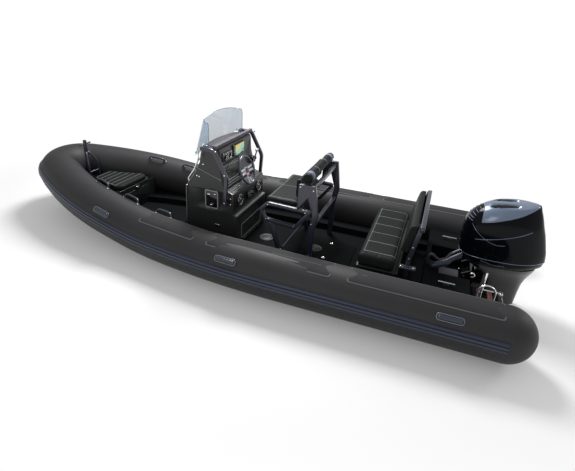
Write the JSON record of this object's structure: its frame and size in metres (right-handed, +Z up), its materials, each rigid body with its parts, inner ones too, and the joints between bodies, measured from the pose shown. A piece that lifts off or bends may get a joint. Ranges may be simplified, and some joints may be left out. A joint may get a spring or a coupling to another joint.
{
  "type": "rigid inflatable boat",
  "caption": "Rigid inflatable boat: a collar tube round a deep-V hull, centre console with windscreen, helm seat, rear bench, cushioned bow locker and an outboard engine on a tilting bracket.",
  "frame": {"origin": "on the centreline at the waterline, below the outer face of the transom", "axes": "+X to the bow, +Y to port, +Z up"},
  "size_m": [6.7058, 2.6996, 2.55],
  "materials": {
    "tube_fabric": "satin",
    "strake_rubber": "satin",
    "band_rubber": "satin",
    "tread": "matte",
    "handle_plastic": "satin",
    "hull_gel": "gloss",
    "deck_gel": "satin",
    "platform_gel": "satin",
    "upholstery": "satin",
    "chrome": "polished",
    "frame_paint": "satin",
    "console_gel": "satin",
    "screen": "clear",
    "instrument": "gloss",
    "wheel_grip": "satin",
    "speaker": "matte",
    "steel": "brushed",
    "engine_paint": "gloss",
    "cowl": "gloss"
  },
  "bodies": {
    "root": {"collar": "tube_fabric", "rub_strake": "strake_rubber", "lower_band": "band_rubber", "tread_patches": "tread", "carry_handles": "handle_plastic", "bow_grab_handles": "handle_plastic", "hull": "hull_gel", "cockpit_liner": "deck_gel", "aft_deck": "deck_gel", "swim_platforms": "platform_gel", "bow_locker": "deck_gel", "locker_latch": "chrome", "foredeck": "deck_gel", "bow_post": "frame_paint", "console_shell": "console_gel", "windscreen": "screen", "console_rails": "frame_paint", "chart_plotter": "instrument", "switch_panel": "instrument", "helm_unit": "instrument", "throttle_control": "instrument", "throttle_lever": "instrument", "speakers": "speaker", "radio": "instrument", "helm_seat_frame": "frame_paint", "helm_seat_cushion": "upholstery", "helm_seat_backrest": "upholstery", "helm_seat_roll": "upholstery", "bench_locker": "deck_gel", "bench_backrest": "upholstery", "bench_back_frame": "frame_paint", "deck_plates": "platform_gel", "cleats": "steel", "stern_eyes": "steel", "bow_eye": "steel", "ladder_hinges": "steel", "clamp_bracket": "engine_paint"},
    "swivel": {"swivel_bracket": "engine_paint"},
    "outboard": {"engine_leg": "engine_paint", "engine_cowl": "cowl"},
    "propeller_body": {"propeller": "steel"},
    "helm": {"steering_wheel": "wheel_grip"},
    "bow_hatch": {"bow_lid": "deck_gel", "bow_cushion": "upholstery"},
    "bench_top": {"bench_lid": "deck_gel", "bench_cushion": "upholstery"},
    "door": {"console_door": "console_gel"},
    "hatch": {"side_hatch": "console_gel"},
    "sole_hatch": {"floor_hatch": "deck_gel"},
    "ladder": {"boarding_ladder": "steel"}
  },
  "joints": [
    {"name": "outboard_tilt", "type": "hinge", "parent": "root", "child": "swivel", "pos_m": [-0.035, 0, 0.33], "axis": [0, 1, 0], "range_deg": [-4, 48]},
    {"name": "outboard_steer", "type": "hinge", "parent": "swivel", "child": "outboard", "pos_m": [-0.155, 0, 0.1], "axis": [0, 0, 1], "range_deg": [-30, 30]},
    {"name": "propeller_spin", "type": "hinge", "parent": "outboard", "child": "propeller_body", "pos_m": [-0.6, 0, -0.61], "axis": [1, 0, 0], "continuous": true},
    {"name": "helm_wheel", "type": "hinge", "parent": "root", "child": "helm", "pos_m": [2.8, 0, 1.005], "axis": [0.9272, 0, -0.3746], "range_deg": [-720, 720]},
    {"name": "bow_lid_hinge", "type": "hinge", "parent": "root", "child": "bow_hatch", "pos_m": [5.19, 0, 0.4725], "axis": [0, 1, 0], "range_deg": [0, 60]},
    {"name": "bench_lid_hinge", "type": "hinge", "parent": "root", "child": "bench_top", "pos_m": [1.18, 0, 0.432], "axis": [0, 1, 0], "range_deg": [0, 80]},
    {"name": "console_door_hinge", "type": "hinge", "parent": "root", "child": "door", "pos_m": [2.722, 0, 0.16], "axis": [0, -1, 0], "range_deg": [0, 90]},
    {"name": "side_hatch_hinge", "type": "hinge", "parent": "root", "child": "hatch", "pos_m": [3.057, 0.458, 0.85], "axis": [1, 0, 0], "range_deg": [0, 90]},
    {"name": "floor_hatch_hinge", "type": "hinge", "parent": "root", "child": "sole_hatch", "pos_m": [1.33, 0, 0.1205], "axis": [0, -1, 0], "range_deg": [0, 80]},
    {"name": "ladder_hinge", "type": "hinge", "parent": "root", "child": "ladder", "pos_m": [-0.314, 0.565, 0.33], "axis": [0, -1, 0], "range_deg": [0, 255]}
  ],
  "couplings": [
    {"joint": "helm_wheel", "follows": "outboard_steer", "ratio": 24}
  ]
}
